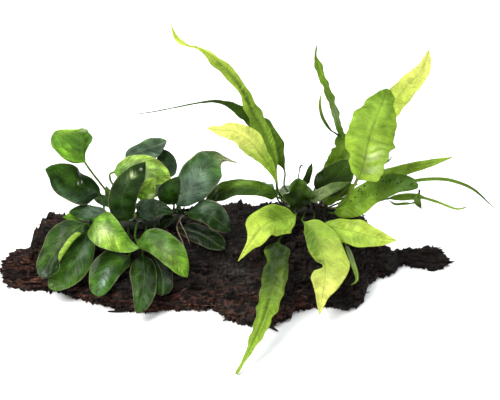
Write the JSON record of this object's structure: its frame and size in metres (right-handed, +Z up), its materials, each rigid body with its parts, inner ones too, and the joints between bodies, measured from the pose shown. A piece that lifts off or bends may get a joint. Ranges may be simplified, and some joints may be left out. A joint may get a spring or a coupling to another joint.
{
  "type": "java fern and anubias on driftwood",
  "caption": "Low, bark-like driftwood that lies flat, with a clump of broad, glossy anubias leaves on the left and an open clump of long java fern fronds on the right.",
  "frame": {"origin": "middle of the driftwood's flat underside, at the level of the surface that it rests on", "axes": "+X along the driftwood to the right, +Y to the back, +Z up"},
  "size_m": [0.3381, 0.1987, 0.1861],
  "materials": {
    "driftwood": "matte",
    "rhizome": "satin",
    "anubias_leaf": "gloss",
    "fern_leaf": "satin"
  },
  "bodies": {
    "root": {"driftwood": "driftwood", "anubias_rhizome": "rhizome", "fern_rhizome": "rhizome", "anubias_leaf_01": "anubias_leaf", "anubias_leaf_02": "anubias_leaf", "anubias_leaf_03": "anubias_leaf", "anubias_leaf_04": "anubias_leaf", "anubias_leaf_05": "anubias_leaf", "anubias_leaf_06": "anubias_leaf", "anubias_leaf_07": "anubias_leaf", "anubias_leaf_08": "anubias_leaf", "anubias_leaf_09": "anubias_leaf", "anubias_leaf_10": "anubias_leaf", "anubias_leaf_11": "anubias_leaf", "anubias_leaf_12": "anubias_leaf", "anubias_leaf_13": "anubias_leaf", "anubias_leaf_14": "anubias_leaf", "anubias_leaf_15": "anubias_leaf", "anubias_leaf_16": "anubias_leaf", "anubias_leaf_17": "anubias_leaf", "anubias_leaf_18": "anubias_leaf", "anubias_leaf_19": "anubias_leaf", "anubias_leaf_20": "anubias_leaf", "anubias_leaf_21": "anubias_leaf", "anubias_leaf_22": "anubias_leaf", "anubias_leaf_23": "anubias_leaf", "anubias_leaf_24": "anubias_leaf", "anubias_leaf_25": "anubias_leaf", "anubias_leaf_26": "anubias_leaf", "fern_leaf_01": "fern_leaf", "fern_leaf_02": "fern_leaf", "fern_leaf_03": "fern_leaf", "fern_leaf_04": "fern_leaf", "fern_leaf_05": "fern_leaf", "fern_leaf_06": "fern_leaf", "fern_leaf_07": "fern_leaf", "fern_leaf_08": "fern_leaf", "fern_leaf_09": "fern_leaf", "fern_leaf_10": "fern_leaf", "fern_leaf_11": "fern_leaf", "fern_leaf_12": "fern_leaf", "fern_leaf_13": "fern_leaf", "fern_leaf_14": "fern_leaf", "fern_leaf_15": "fern_leaf", "fern_leaf_16": "fern_leaf", "fern_leaf_17": "fern_leaf", "fern_leaf_18": "fern_leaf", "fern_leaf_19": "fern_leaf", "fern_leaf_20": "fern_leaf", "fern_leaf_21": "fern_leaf", "fern_leaf_22": "fern_leaf", "fern_leaf_23": "fern_leaf", "fern_leaf_24": "fern_leaf", "fern_leaf_25": "fern_leaf", "fern_leaf_26": "fern_leaf", "fern_plantlet_leaf_01": "fern_leaf", "fern_plantlet_leaf_02": "fern_leaf"}
  },
  "joints": []
}
